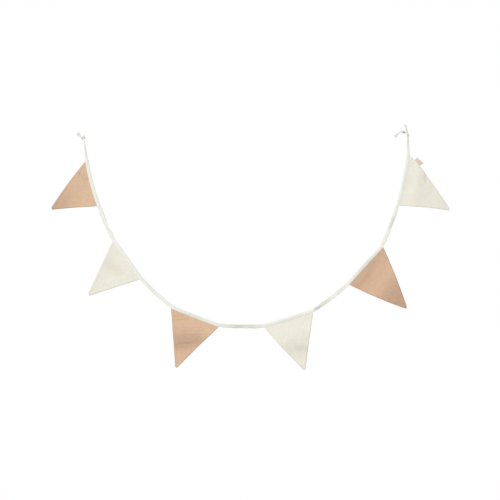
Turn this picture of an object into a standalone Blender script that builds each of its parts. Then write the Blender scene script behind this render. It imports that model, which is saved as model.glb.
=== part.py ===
"""Fabric bunting: six cloth flags bound into one folded tape, with a knotted tie at each end.

Metres, +Z up. X runs from the left tie to the right one, Y is depth, and the front faces -Y.
The origin is the middle of the knot in the left tie. Lengths in the tables are millimetres.
"""
import math

import bmesh
import bpy
import numpy as np
from mathutils import Vector

MM = 0.001
CLEARANCE = 0.3            # left between pieces that touch when sewn

# The tape, a strip folded in half along its length
TAPE_WIDTH = 13.2          # between the flags
TAPE_THICKNESS = 2.0
BOUND_WIDTH = 11.8         # over a flag, where the cloth inside rounds the fold
BOUND_THICKNESS = 4.2
FOLD_WALL = 2.7            # cloth left between the pocket and the folded edge
TAPE_BLEND = 14.0          # length over which the tape changes from one section to the other
BEND_BLEND = 9.0           # half length of the soft bend at the corner of a flag
DEPTH_WANDER = 3.0         # how far the tape wanders in depth, once it has left its tie
DEPTH_WAVE = 640.0
DEPTH_START = 120.0
EDGE_WANDER = 0.55         # unevenness of the tape between the flags
EDGE_WAVES = (45.9, 119.4, 69.1)
RING_STEP_BOUND = 11.5     # spacing of the tape's sections over a flag
RING_STEP_FREE = 7.0       # and between the flags
RING_STEP_TIE = 2.2        # and in the knots and tails
SECTION_POINTS = 8
TAPE_SQUARENESS = 2.5      # how much squarer than an ellipse a flat section is
CURVE_SAMPLES = 20         # samples between two hand placed points of the ties

# Runs of the tape from left to right. Headings are degrees below level at each end of the run.
# name, length, heading at start, heading at end
RUNS = (
    ("left_tie", 69.0, 82.0, 82.0),
    ("flag_1", 159.5, 80.5, 69.5),
    ("gap_1", 135.5, 70.0, 63.5),
    ("flag_2", 161.0, 53.0, 55.0),
    ("gap_2", 148.0, 47.4, 38.5),
    ("flag_3", 176.5, 23.0, 19.5),
    ("gap_3", 158.0, 4.5, -3.0),
    ("flag_4", 176.5, -16.5, -18.0),
    ("gap_4", 158.5, -32.5, -42.5),
    ("flag_5", 175.0, -48.0, -47.5),
    ("gap_5", 154.5, -66.0, -72.0),
    ("flag_6", 176.5, -74.0, -82.0),
    ("right_tie", 66.0, -89.5, -92.0),
)
TAPE_START = (2.7, -16.1)   # X and Z where the left tie leaves its knot

# Places where the tape between two flags turns on its edge and back.
# run, distance from the start of the run, half length, turn in degrees
TWISTS = (
    ("left_tie", 18.0, 26.0, 44.0),
    ("gap_1", 84.0, 30.0, 38.0),
    ("gap_2", 60.0, 48.0, -18.0),
    ("gap_3", 66.0, 30.0, 18.0),
    ("gap_3", 112.0, 30.0, -18.0),
    ("gap_4", 22.0, 26.0, 30.0),
    ("gap_4", 78.0, 40.0, -24.0),
    ("gap_5", 92.0, 44.0, 16.0),
    ("right_tie", 34.0, 26.0, -34.0),
)

# Width and thickness of the gathered ties, by distance from the start of the run
# run, distance, width, thickness
TIE_SECTIONS = (
    ("left_tie", 0.0, 4.8, 2.8),
    ("left_tie", 12.0, 6.4, 2.6),
    ("left_tie", 34.0, 7.2, 2.4),
    ("left_tie", 58.0, 8.4, 2.2),
    ("right_tie", 18.0, 8.6, 2.4),
    ("right_tie", 44.0, 8.0, 2.6),
    ("right_tie", 66.0, 5.4, 3.0),
)

# The overhand knots: the strand runs twice round a ring, and half a turn round itself three times
KNOT_STRAND = 2.85
KNOT_RING = 3.75
KNOT_TWINE = 1.9
KNOT_CIRCUITS = 2
KNOT_HALF_TURNS = 3
KNOT_MOUTH = math.radians(30.0)    # half of the part of the ring that is left open for the ends
KNOT_STEP = math.radians(15.0)
# centre, directions across and along the ring, its axis, where its mouth is, which way it runs
LEFT_KNOT = ((0.0, 0.0, 0.0), (1, 0, 0), (0, 0, 1), (0, 1, 0), math.radians(215.0), -1)
RIGHT_KNOT = ((1119.0, 1.2, 20.4), (1, 0, 0), (0, 1, 0), (0, 0, -1), math.radians(90.0), 1)

# The left tail from its cut end to the knot, then the strand from the knot to the tie
# x, depth, z, width, thickness
LEFT_TAIL = (
    (-19.4, -0.6, 13.2, 11.0, 1.5),
    (-16.4, -1.0, 10.2, 10.4, 1.6),
    (-13.2, -1.6, 6.4, 7.0, 2.2),
    (-10.0, -2.4, 2.0, 3.2, 2.8),
    (-6.6, -2.9, -2.0, 3.0, 3.0),
)
LEFT_ENTRY = (
    (-4.7, 2.4, -3.6, 3.0, 3.0),
    (-3.2, 2.2, -7.2, 3.2, 3.0),
    (0.6, 1.0, -11.2, 3.8, 3.0),
)

# The right tie runs up, doubles back round a narrow eye, crosses in front of itself and goes to
# its knot, and then its tail
# x, depth, z, width, thickness
RIGHT_BIGHT = (
    (1135.3, -0.2, 8.5, 4.0, 3.0),
    (1134.6, -1.2, 16.0, 3.6, 2.6),
    (1133.0, -1.8, 24.0, 3.6, 2.4),
    (1131.2, -2.0, 31.5, 3.4, 2.4),
    (1130.2, -1.8, 38.0, 3.2, 2.4),
    (1128.6, -0.8, 43.0, 3.0, 2.4),
    (1126.0, 1.1, 44.6, 3.0, 2.4),
    (1125.0, 3.0, 41.6, 3.0, 2.4),
    (1127.2, 3.3, 37.0, 3.0, 2.4),
    (1129.2, 2.6, 31.0, 3.2, 2.4),
    (1131.0, 2.4, 24.0, 3.2, 2.4),
    (1133.2, 3.1, 16.5, 3.2, 2.6),
    (1136.6, 3.5, 10.4, 3.0, 2.8),
    (1139.7, -0.2, 7.0, 3.0, 2.8),
    (1136.4, -4.3, 6.2, 3.0, 2.8),
    (1131.6, -3.6, 9.8, 3.0, 2.8),
    (1129.0, -0.6, 13.6, 3.0, 2.9),
    (1127.0, 3.6, 16.2, 3.0, 3.0),
    (1124.4, 6.8, 17.0, 3.0, 3.0),
    (1120.4, 7.4, 16.8, 3.0, 3.0),
)
RIGHT_TAIL = (
    (1117.2, 7.4, 22.8, 3.0, 3.0),
    (1112.0, 5.8, 20.8, 3.2, 2.8),
    (1105.6, 3.4, 16.8, 3.6, 2.6),
    (1099.6, 1.4, 11.8, 6.0, 2.0),
    (1095.0, 0.2, 7.2, 8.6, 1.6),
    (1091.0, -0.4, 3.0, 9.4, 1.5),
)

# The flags. A flag's tip is placed from the middle of its bound edge.
FLAG_THICKNESS = 1.6
FLAG_COLUMNS = 14
FLAG_ROWS = 15
FLAG_STRAIGHT = 2.0        # cloth that leaves the pocket straight before it starts to fold
SWING_POWER = 2.0          # above 1, a flag swings out of its plane more towards its tip
TIP_WIDTH = 7.6
# name, tip along the tape, tip out from the tape, tip towards the front, left bow, right bow, cloth
FLAGS = (
    ("flag_1", 48.5, 161.0, 18.0, 4.5, -1.3, "tan"),
    ("flag_2", 20.5, 182.5, 5.0, 0.0, -0.5, "cream"),
    ("flag_3", 2.0, 192.5, 9.0, -0.8, -1.6, "tan"),
    ("flag_4", 1.0, 189.5, -3.0, 1.6, -1.2, "cream"),
    ("flag_5", -14.5, 209.5, -11.0, 3.6, 2.8, "tan"),
    ("flag_6", -65.5, 180.5, -6.0, -3.2, 5.8, "cream"),
)
# Soft folds in the flags. Each is a ridge (towards the front) or a trough along a straight line
# from one place on the flat cloth to another.
# flag, across and down at one end, across and down at the other, half width, height
FOLDS = (
    ("flag_1", 0.30, 0.15, 0.42, 0.75, 22.0, 1.5),
    ("flag_2", 0.45, 0.05, 0.50, 0.60, 40.0, -2.2),
    ("flag_2", 0.86, 0.10, 0.72, 0.70, 18.0, 0.8),
    ("flag_3", 0.00, 0.36, 1.00, 0.18, 30.0, 9.0),
    ("flag_3", 0.00, 0.72, 1.00, 0.50, 29.0, -9.0),
    ("flag_4", 0.00, 0.35, 1.00, 0.33, 36.0, 4.0),
    ("flag_4", 0.00, 0.72, 1.00, 0.82, 33.0, -5.5),
    ("flag_5", 0.00, 0.49, 1.00, 0.46, 46.0, 8.5),
    ("flag_6", 0.00, 0.25, 1.00, 0.22, 26.0, 2.5),
    ("flag_6", 0.00, 0.66, 1.00, 0.62, 26.0, -1.5),
)
FOLD_RISE = 0.22           # part of the height over which a fold grows from the tape

# The blank label in the upper edge of the sixth flag
LABEL_FLAG = "flag_6"
LABEL_START = 24.5         # from the corner at the tape
LABEL_LENGTH = 28.0
# At its end near the tape and at its end near the tip: how far the label stands out, and its lean
# towards the tip
LABEL_SIDES = (
    (11.3, math.radians(-10.0)),
    (14.9, math.radians(5.5)),
)
LABEL_THICKNESS = 1.4
LABEL_CURL = 2.5           # how far its free end curls to the front
LABEL_PULL = 4.0           # how far the label draws the flag's edge out along the tape
PULL_MIDDLE = 0.19         # place down the edge where it draws most, and how far that reaches
PULL_REACH = 0.18
PULL_START = 0.12
LABEL_CELLS = 4

# Cloth colours, linear RGB
CLOTHS = {
    "cream": (0.83, 0.81, 0.71),
    "tan": (0.67, 0.47, 0.33),
    "tape": (0.85, 0.84, 0.76),
    "label": (0.78, 0.62, 0.52),
}
CLOTH_ROUGHNESS = 0.9


def clear_scene():
    for item in list(bpy.data.objects):
        bpy.data.objects.remove(item, do_unlink=True)


def smoothstep(value):
    value = np.clip(value, 0.0, 1.0)
    return value * value * (3.0 - 2.0 * value)


def cloth_material(name, cloth):
    material = bpy.data.materials.new(name)
    material.use_nodes = True
    shader = material.node_tree.nodes["Principled BSDF"]
    shader.inputs["Base Color"].default_value = (*CLOTHS[cloth], 1.0)
    shader.inputs["Roughness"].default_value = CLOTH_ROUGHNESS
    shader.inputs["Metallic"].default_value = 0.0
    return material


def add_object(name, mesh_data, cloth):
    mesh = bpy.data.meshes.new(name)
    mesh_data.to_mesh(mesh)
    mesh_data.free()
    mesh.shade_smooth()
    item = bpy.data.objects.new(name, mesh)
    bpy.context.collection.objects.link(item)
    if cloth:
        mesh.materials.append(cloth_material(name, cloth))
    return item


def run_starts():
    """Where each run begins, as a distance along the tape."""
    starts = {}
    total = 0.0
    for name, length, _, _ in RUNS:
        starts[name] = (total, total + length)
        total += length
    return starts, total


STARTS, TAPE_LENGTH = run_starts()


def heading(distance):
    """Degrees below level: even within a run, with a short soft bend from each run to the next."""
    places = []
    angles = []
    for name, _, first, last in RUNS:
        start, end = STARTS[name]
        places += [start + BEND_BLEND, end - BEND_BLEND]
        angles += [first, last]
    return np.interp(distance, places, angles)


def integrate_tape():
    """The tape's middle line in X and Z, every millimetre."""
    distance = np.arange(0.0, TAPE_LENGTH + 1.0, 1.0)
    angle = np.radians(heading(distance + 0.5))
    across = np.concatenate([[0.0], np.cumsum(np.cos(angle))[:-1]]) + TAPE_START[0]
    height = np.concatenate([[0.0], np.cumsum(-np.sin(angle))[:-1]]) + TAPE_START[1]
    return distance, across, height


LINE_DISTANCE, LINE_X, LINE_Z = integrate_tape()


def tape_depth(distance):
    wave = math.sin(2.0 * math.pi * distance / DEPTH_WAVE)
    return DEPTH_WANDER * wave * float(smoothstep(distance / DEPTH_START))


def tape_point(distance, out):
    """A point on the tape's mid plane, moved out towards the flags."""
    angle = math.radians(float(heading(distance)))
    return Vector((
        float(np.interp(distance, LINE_DISTANCE, LINE_X)) - math.sin(angle) * out,
        tape_depth(distance),
        float(np.interp(distance, LINE_DISTANCE, LINE_Z)) - math.cos(angle) * out,
    ))


def section_sizes(distance):
    """Width and thickness of the tape at a distance along it."""
    places = []
    widths = []
    depths = []
    for name, _, _, _ in RUNS:
        start, end = STARTS[name]
        if name.startswith("flag"):
            places += [start, end]
            widths += [BOUND_WIDTH, BOUND_WIDTH]
            depths += [BOUND_THICKNESS, BOUND_THICKNESS]
        elif name.startswith("gap"):
            places += [start + TAPE_BLEND, end - TAPE_BLEND]
            widths += [TAPE_WIDTH, TAPE_WIDTH]
            depths += [TAPE_THICKNESS, TAPE_THICKNESS]
        else:
            for run, along, width, depth in TIE_SECTIONS:
                if run == name:
                    places.append(start + along)
                    widths.append(width)
                    depths.append(depth)
    return np.interp(distance, places, widths), np.interp(distance, places, depths)


def twist_angle(distance):
    angle = 0.0
    for run, along, half_length, turn in TWISTS:
        offset = (distance - STARTS[run][0] - along) / half_length
        if abs(offset) < 1.0:
            angle += math.radians(turn) * 0.5 * (1.0 + math.cos(math.pi * offset))
    return angle


def main_stations():
    """Distances along the tape at which it gets a section."""
    stations = []
    for name, length, _, _ in RUNS:
        step = RING_STEP_BOUND if name.startswith("flag") else RING_STEP_FREE
        count = math.ceil(length / step)
        start = STARTS[name][0]
        stations += [start + length * i / count for i in range(count)]
    stations.append(TAPE_LENGTH)
    return stations


def main_rows():
    """The tape between its ties: place, width, thickness and turn of each section."""
    rows = []
    for distance in main_stations():
        width, depth = section_sizes(distance)
        free = smoothstep((width - BOUND_WIDTH) / (TAPE_WIDTH - BOUND_WIDTH))
        short, long, narrow = (2.0 * math.pi * distance / wave for wave in EDGE_WAVES)
        wander = EDGE_WANDER * free * math.sin(short) * math.sin(long)
        place = tape_point(distance, wander)
        width += 2.0 * wander * math.cos(narrow)
        rows.append((*place, width, depth, twist_angle(distance)))
    return np.array(rows)


def knot_rows(centre, across, deep, axis, mouth, turn):
    """An overhand knot's middle line, from the mouth of its ring round to the mouth again."""
    rows = []
    whole = 2.0 * math.pi * KNOT_CIRCUITS - 2.0 * KNOT_MOUTH
    count = round(whole / KNOT_STEP)
    for i in range(count + 1):
        swept = KNOT_MOUTH + whole * i / count
        twine = swept * KNOT_HALF_TURNS / KNOT_CIRCUITS
        radius = KNOT_RING + KNOT_TWINE * math.cos(twine)
        place = Vector(centre)
        place += Vector(across) * radius * math.cos(mouth + turn * swept)
        place += Vector(deep) * radius * math.sin(mouth + turn * swept)
        place += Vector(axis) * KNOT_TWINE * math.sin(twine)
        rows.append((*place, KNOT_STRAND, KNOT_STRAND))
    return rows


def smooth_rows(rows, first, last):
    """Catmull-Rom curve through the rows at an even step, aimed along the rows before and after."""
    rows = np.array(rows)
    padded = np.vstack([first, rows, last])
    fine = []
    for i in range(1, len(padded) - 2):
        before, start, end, after = padded[i - 1:i + 3]
        for part in np.linspace(0.0, 1.0, CURVE_SAMPLES, endpoint=False):
            fine.append(0.5 * (
                2.0 * start
                + (end - before) * part
                + (2.0 * before - 5.0 * start + 4.0 * end - after) * part ** 2
                + (3.0 * start - before - 3.0 * end + after) * part ** 3
            ))
    fine.append(rows[-1])
    fine = np.array(fine)
    lengths = np.linalg.norm(np.diff(fine[:, :3], axis=0), axis=1)
    along = np.concatenate([[0.0], np.cumsum(lengths)])
    places = np.linspace(0.0, along[-1], round(along[-1] / RING_STEP_TIE) + 1)
    return np.column_stack([np.interp(places, along, fine[:, k]) for k in range(rows.shape[1])])


def left_end_rows(main):
    rows = [*LEFT_TAIL, *knot_rows(*LEFT_KNOT)[::-1], *LEFT_ENTRY, main[0][:5]]
    beyond = 2.0 * np.array(rows[0]) - np.array(rows[1])
    return smooth_rows(rows, beyond, main[1][:5])[:-1]


def right_end_rows(main):
    rows = [main[-1][:5], *RIGHT_BIGHT, *knot_rows(*RIGHT_KNOT), *RIGHT_TAIL]
    beyond = 2.0 * np.array(rows[-1]) - np.array(rows[-2])
    return smooth_rows(rows, main[-2][:5], beyond)[1:]


def tape_rows():
    """Every section of the tape from tail to tail, and where its ties start and end."""
    main = main_rows()
    left = left_end_rows(main)
    right = right_end_rows(main)
    left = np.column_stack([left, np.full(len(left), main[0][5])])
    right = np.column_stack([right, np.full(len(right), main[-1][5])])
    return np.vstack([left, main, right]), len(left), len(left) + len(main)


def section_ring(bm, centre, side, front, width, depth):
    """A ring of points: round where the strand is as thick as it is wide, flat sided as a tape."""
    squareness = 2.0 + TAPE_SQUARENESS * (1.0 - min(depth / width, 1.0))
    ring = []
    for i in range(SECTION_POINTS):
        angle = 2.0 * math.pi * i / SECTION_POINTS
        across = math.copysign(abs(math.cos(angle)) ** (2.0 / squareness), math.cos(angle))
        through = math.copysign(abs(math.sin(angle)) ** (2.0 / squareness), math.sin(angle))
        place = centre + side * across * width / 2.0 + front * through * depth / 2.0
        ring.append(bm.verts.new(place * MM))
    return ring


def carried_sides(points, tangents, first, last):
    """The width direction at each point, level with the tape's plane and carried into the knots."""
    sides = [None] * len(points)
    for i in range(first, last):
        sides[i] = tangents[i].cross(Vector((0, 1, 0))).normalized()
    for i in range(first - 1, -1, -1):
        carried = sides[i + 1] - tangents[i] * sides[i + 1].dot(tangents[i])
        sides[i] = carried.normalized()
    for i in range(last, len(points)):
        carried = sides[i - 1] - tangents[i] * sides[i - 1].dot(tangents[i])
        sides[i] = carried.normalized()
    return sides


def facing_turn(side, tangent):
    """Turn that brings a carried width direction level with the tape's plane at a tail's end."""
    level = tangent.cross(Vector((0, 1, 0))).normalized()
    return math.atan2(tangent.dot(side.cross(level)), side.dot(level))


def make_tape():
    rows, first, last = tape_rows()
    points = [Vector(row[:3]) for row in rows]
    tangents = []
    for i in range(len(points)):
        ahead = points[min(i + 1, len(points) - 1)]
        behind = points[max(i - 1, 0)]
        tangents.append((ahead - behind).normalized())
    sides = carried_sides(points, tangents, first, last)
    left_turn = facing_turn(sides[0], tangents[0])
    right_turn = facing_turn(sides[-1], tangents[-1])
    bm = bmesh.new()
    rings = []
    for i, (point, tangent, side) in enumerate(zip(points, tangents, sides)):
        turn = rows[i][5]
        if i < first:
            turn += (left_turn - rows[0][5]) * smoothstep((first - i) / first)
        if i >= last:
            turn += (right_turn - rows[-1][5]) * smoothstep((i + 1 - last) / (len(points) - last))
        front = tangent.cross(side)
        turned_side = side * math.cos(turn) + front * math.sin(turn)
        turned_front = tangent.cross(turned_side)
        rings.append(section_ring(bm, point, turned_side, turned_front, rows[i][3], rows[i][4]))
    for lower, upper in zip(rings, rings[1:]):
        for k in range(SECTION_POINTS):
            n = (k + 1) % SECTION_POINTS
            bm.faces.new((lower[k], lower[n], upper[n], upper[k]))
    bm.faces.new(rings[0][::-1])
    bm.faces.new(rings[-1])
    bmesh.ops.recalc_face_normals(bm, faces=bm.faces)
    return add_object("tape", bm, "tape")


def flag_axes(name):
    """Middle of a flag's bound edge, with the directions along the tape and out from it."""
    start, end = STARTS[name]
    along = tape_point(end, 0.0) - tape_point(start, 0.0)
    along.y = 0.0
    along.normalize()
    out = Vector((along.z, 0.0, -along.x))
    middle = (tape_point(start, 0.0) + tape_point(end, 0.0)) / 2.0
    return middle, along, out


def fold_depth(flag, across, down):
    """How far the folds move a point of a flag in depth; the front is at negative depth."""
    name = flag[0]
    start, end = STARTS[name]
    size = Vector((end - start, flag[2]))
    place = Vector(((across - 0.5) * (1.0 - down), down)) * size
    depth = 0.0
    for row, across_0, down_0, across_1, down_1, half_width, height in FOLDS:
        if row == name:
            first = Vector(((across_0 - 0.5) * (1.0 - down_0), down_0)) * size
            last = Vector(((across_1 - 0.5) * (1.0 - down_1), down_1)) * size
            run = last - first
            share = min(max((place - first).dot(run) / run.length_squared, 0.0), 1.0)
            offset = (place - first - run * share).length / half_width
            depth -= height * math.exp(-offset * offset)
    return depth * float(smoothstep(down / FOLD_RISE))


def edge_pull(down):
    """Share of the label's pull that a place down the flag takes."""
    offset = (down - PULL_MIDDLE) / PULL_REACH
    return math.exp(-offset * offset) * float(smoothstep(down / PULL_START))


def flag_point(flag, across, down):
    """A point of a flag: across runs 0 to 1 from left to right, down 0 to 1 from tape to tip."""
    name, tip_along, tip_out, tip_front, left_bow, right_bow, _ = flag
    start, end = STARTS[name]
    middle, along, out = flag_axes(name)
    base = tape_point(start + (end - start) * across, BOUND_WIDTH / 2.0 + FLAG_STRAIGHT)
    tip = middle + along * (tip_along + (across - 0.5) * TIP_WIDTH) + out * tip_out
    place = base.lerp(tip, down)
    bulge = 4.0 * down * (1.0 - down)
    place += along * bulge * (right_bow * across - left_bow * (1.0 - across))
    if name == LABEL_FLAG:
        place += along * LABEL_PULL * across * edge_pull(down)
    place.y -= tip_front * down ** SWING_POWER
    place.y += fold_depth(flag, across, down)
    return place


def add_grid(bm, points):
    rows = [[bm.verts.new(point * MM) for point in row] for row in points]
    for upper, lower in zip(rows, rows[1:]):
        for k in range(len(upper) - 1):
            bm.faces.new((upper[k], upper[k + 1], lower[k + 1], lower[k]))


def thicken(item, thickness):
    solidify = item.modifiers.new("thickness", "SOLIDIFY")
    solidify.thickness = thickness * MM
    solidify.offset = 0.0


def make_flag(flag):
    name = flag[0]
    start, end = STARTS[name]
    columns = [k / FLAG_COLUMNS for k in range(FLAG_COLUMNS + 1)]
    pocket_end = -BOUND_WIDTH / 2.0 + FOLD_WALL + CLEARANCE
    points = []
    for out in (pocket_end, BOUND_WIDTH / 2.0):
        points.append([tape_point(start + (end - start) * across, out) for across in columns])
    for row in range(FLAG_ROWS + 1):
        points.append([flag_point(flag, across, row / FLAG_ROWS) for across in columns])
    bm = bmesh.new()
    add_grid(bm, points)
    item = add_object(name, bm, flag[6])
    thicken(item, FLAG_THICKNESS)
    return item


def make_pockets():
    """One cutter for all six flags: each slot is the flag's bound margin with its clearance."""
    bm = bmesh.new()
    for flag in FLAGS:
        start, end = STARTS[flag[0]]
        count = math.ceil((end - start) / RING_STEP_BOUND)
        low = start - CLEARANCE
        high = end + CLEARANCE
        points = []
        for out in (-BOUND_WIDTH / 2.0 + FOLD_WALL, BOUND_WIDTH):
            points.append([tape_point(low + (high - low) * k / count, out) for k in range(count + 1)])
        add_grid(bm, points)
    cutter = add_object("pocket_cutter", bm, None)
    thicken(cutter, FLAG_THICKNESS + 2.0 * CLEARANCE)
    cutter.hide_render = True
    cutter.display_type = "WIRE"
    return cutter


def make_label():
    """The label starts at its clearance from the flag's edge, and fans out from there."""
    flag = next(row for row in FLAGS if row[0] == LABEL_FLAG)
    edge_length = (flag_point(flag, 1.0, 1.0) - flag_point(flag, 1.0, 0.0)).length
    label_end = (LABEL_START + LABEL_LENGTH) / edge_length
    edge = flag_point(flag, 1.0, label_end) - flag_point(flag, 1.0, LABEL_START / edge_length)
    edge.y = 0.0
    edge.normalize()
    outward = Vector((-edge.z, 0.0, edge.x))
    points = []
    for row in range(LABEL_CELLS + 1):
        out = row / LABEL_CELLS
        line = []
        for column in range(LABEL_CELLS + 1):
            share = column / LABEL_CELLS
            reach, lean = (first + (last - first) * share for first, last in zip(*LABEL_SIDES))
            leaning = outward * math.cos(lean) + edge * math.sin(lean)
            down = (LABEL_START + LABEL_LENGTH * share) / edge_length
            place = flag_point(flag, 1.0, down) + outward * CLEARANCE + leaning * reach * out
            place.y -= LABEL_CURL * out ** 2
            line.append(place)
        points.append(line)
    bm = bmesh.new()
    add_grid(bm, points)
    item = add_object("side_label", bm, "label")
    thicken(item, LABEL_THICKNESS)
    return item


def build():
    clear_scene()
    tape = make_tape()
    cut = tape.modifiers.new("pockets", "BOOLEAN")
    cut.operation = "DIFFERENCE"
    cut.solver = "EXACT"
    cut.object = make_pockets()
    for flag in FLAGS:
        make_flag(flag)
    make_label()


build()
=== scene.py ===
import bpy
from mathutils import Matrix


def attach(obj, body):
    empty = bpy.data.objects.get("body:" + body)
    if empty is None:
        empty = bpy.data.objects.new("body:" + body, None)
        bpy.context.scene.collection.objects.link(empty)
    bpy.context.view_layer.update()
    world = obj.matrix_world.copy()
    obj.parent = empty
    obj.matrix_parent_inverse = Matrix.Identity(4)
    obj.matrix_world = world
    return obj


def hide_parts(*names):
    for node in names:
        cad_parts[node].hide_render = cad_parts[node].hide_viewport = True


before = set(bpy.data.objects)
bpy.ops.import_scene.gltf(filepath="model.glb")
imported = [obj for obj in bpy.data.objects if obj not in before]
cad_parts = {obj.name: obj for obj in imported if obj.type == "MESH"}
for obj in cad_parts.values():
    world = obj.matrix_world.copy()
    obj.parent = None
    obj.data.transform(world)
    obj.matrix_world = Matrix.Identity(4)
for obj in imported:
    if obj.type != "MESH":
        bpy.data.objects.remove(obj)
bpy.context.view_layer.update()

import math

import bmesh
import bpy
import numpy as np
from mathutils import Matrix, Vector, noise

# Camera, light and floor
# The photograph looks square on at a bunting that hangs on plain white, in soft light from the
# upper left. Its 500 pixels span 1.75 m at the tape. The floor is far below, out of its view.
PHOTO_SPAN = 1.75
CAMERA_PLACE = (0.583, -8.0, -0.394)
KEY_FROM = (-0.38, -0.78, 0.50)
KEY_STRENGTH = 2.4
KEY_SOFTNESS = math.radians(28.0)
ROOM_STRENGTH = 0.40
FLOOR_DEPTH = -2.0
FLOOR_RADIUS = 2.2
FLOOR_COLOUR = "#F1F0ED"
FLOOR_STIPPLE = 0.004      # left by the paint roller


def linear(hex_colour):
    """An sRGB hex colour as linear RGBA."""
    parts = [int(hex_colour[i:i + 2], 16) / 255.0 for i in (1, 3, 5)]
    return (*[p / 12.92 if p <= 0.04045 else ((p + 0.055) / 1.055) ** 2.4 for p in parts], 1.0)


def add_node(tree, kind, settings=None, values=None, links=None):
    """Adds a node, with links as the output that feeds each input."""
    node = tree.nodes.new(kind)
    for name, value in (settings or {}).items():
        setattr(node, name, value)
    for socket, value in (values or {}).items():
        node.inputs[socket].default_value = value
    for socket, output in (links or {}).items():
        tree.links.new(output, node.inputs[socket])
    return node


camera_data = bpy.data.cameras.new("photo_camera")
camera_data.lens = camera_data.sensor_width * -CAMERA_PLACE[1] / PHOTO_SPAN
camera = bpy.data.objects.new("photo_camera", camera_data)
camera.location = CAMERA_PLACE
camera.rotation_euler = (math.radians(90.0), 0.0, 0.0)
bpy.context.scene.collection.objects.link(camera)
bpy.context.scene.camera = camera
bpy.context.scene.view_settings.view_transform = "Standard"

key_data = bpy.data.lights.new("key_light", "SUN")
key_data.energy = KEY_STRENGTH
key_data.angle = KEY_SOFTNESS
key_light = bpy.data.objects.new("key_light", key_data)
key_light.rotation_euler = Vector(KEY_FROM).to_track_quat("Z", "Y").to_euler()
bpy.context.scene.collection.objects.link(key_light)

world = bpy.data.worlds.new("studio")
world.use_nodes = True
world.node_tree.nodes.clear()
bpy.context.scene.world = world
ray = add_node(world.node_tree, "ShaderNodeLightPath")
room_light = add_node(world.node_tree, "ShaderNodeBackground", values={"Strength": ROOM_STRENGTH})
room_light.inputs["Color"].default_value = (1.0, 1.0, 1.0, 1.0)
paper = add_node(world.node_tree, "ShaderNodeBackground", values={"Strength": 1.0})
paper.inputs["Color"].default_value = (1.0, 1.0, 1.0, 1.0)
studio = add_node(world.node_tree, "ShaderNodeMixShader", links={
    0: ray.outputs["Is Camera Ray"],
    1: room_light.outputs["Background"],
    2: paper.outputs["Background"],
})
add_node(world.node_tree, "ShaderNodeOutputWorld", links={"Surface": studio.outputs["Shader"]})

# Matt studio floor paint: an even pale coat, a little rolled
floor_paint = bpy.data.materials.new("matt_floor_paint")
floor_paint.use_nodes = True
floor_shader = floor_paint.node_tree.nodes["Principled BSDF"]
floor_shader.inputs["Base Color"].default_value = linear(FLOOR_COLOUR)
floor_shader.inputs["Roughness"].default_value = 0.8
floor_place = add_node(floor_paint.node_tree, "ShaderNodeTexCoord")
rolled = add_node(
    floor_paint.node_tree, "ShaderNodeTexNoise", values={"Scale": 1.0 / FLOOR_STIPPLE, "Detail": 3.0},
    links={"Vector": floor_place.outputs["Object"]},
)
stipple = add_node(
    floor_paint.node_tree, "ShaderNodeBump", values={"Distance": 0.1 * FLOOR_STIPPLE, "Strength": 0.4},
    links={"Height": rolled.outputs["Fac"]},
)
floor_paint.node_tree.links.new(stipple.outputs["Normal"], floor_shader.inputs["Normal"])
bm = bmesh.new()
bmesh.ops.create_circle(bm, cap_ends=True, segments=96, radius=FLOOR_RADIUS)
bmesh.ops.translate(bm, verts=bm.verts, vec=(CAMERA_PLACE[0], 0.0, FLOOR_DEPTH))
floor_mesh = bpy.data.meshes.new("floor")
bm.to_mesh(floor_mesh)
bm.free()
floor_mesh.materials.append(floor_paint)
floor = bpy.data.objects.new("floor", floor_mesh)
bpy.context.scene.collection.objects.link(floor)

# Binding tape with its ties
# One strip of cream cotton muslin, folded in half over the raw upper edges of the pennants and
# stitched through. Past the outer pennants it runs on as the ties, each gathered by hand into an
# overhand knot, and the right one is doubled back first, into a narrow eye to hang it by.
MM = 0.001
TAPE_WIDTH = 13.2
TAPE_THICKNESS = 2.0
BOUND_WIDTH = 11.8         # over a pennant, where the cloth inside rounds the fold
BOUND_THICKNESS = 3.1
TAPE_WALL = 0.85           # two layers of the strip, its raw edge turned in
TAPE_EDGE = 0.2            # the turned edge, pressed thin by the stitches
CLOTH_INSIDE = 1.3         # room between the layers over a pennant
NOTHING_INSIDE = 0.3
TAPE_BLEND = 14.0          # past a pennant, over which the tape widens again
BEND_BLEND = 9.0           # to each side of the place where one run bends into the next
LINE_STEP = 1.0
DEPTH_WANDER = 3.0         # how far it sways towards the wall and away from it
DEPTH_WAVE = 640.0
DEPTH_START = 120.0
EDGE_WANDER = 0.55         # how far its edges wander between the pennants
EDGE_WAVES = (45.9, 119.4, 69.1)
TAPE_STEP = 2.0            # spacing of the mesh along the tape, and in the ties below
TIE_STEP = 1.0
LAYER_POINTS = 17          # points round one face of the folded strip, front edge to back edge
FLAT_FROM = 1.2            # width for each thickness from which a gathered tie opens out flat
FLAT_OVER = 2.4
SQUARENESS = 0.55          # how much fuller than an oval the flat tape's section is
SECTION_RADIUS = 4.6       # the section drawn out to a circle, on which its puckers are laid
TAPE_PUCKER = 0.26
PUCKER_STRETCH = 1.4       # a pucker is longer along the tape
PUCKER_PITCHES = (5.25, 2.25)
TIE_PUCKER = 0.4           # how much of the pucker a gathered tie keeps
TIE_LOBES = 0.5            # ridges that run along a gathered tie
LOBE_SPREAD = 0.02
LOBE_STRETCH = (0.35, 1.0, 1.0)
LOBE_PITCH = 3.4
EDGE_WAVER = 0.35
EDGE_WAVER_PITCH = 13.0
STITCH_INSET = 2.0         # the stitch line, from the open edge
STITCH_SINK = 0.2          # how much thinner the tape is pulled there
STITCH_REACH = 1.1
CURVE_PARTS = 20           # parts of the curve between two places of a tie or tail
WELD_DISTANCE = 0.002      # within this, points of a cloth's mesh become one
SEED_SHIFT = 17.3          # keeps the noises of different seeds apart

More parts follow.
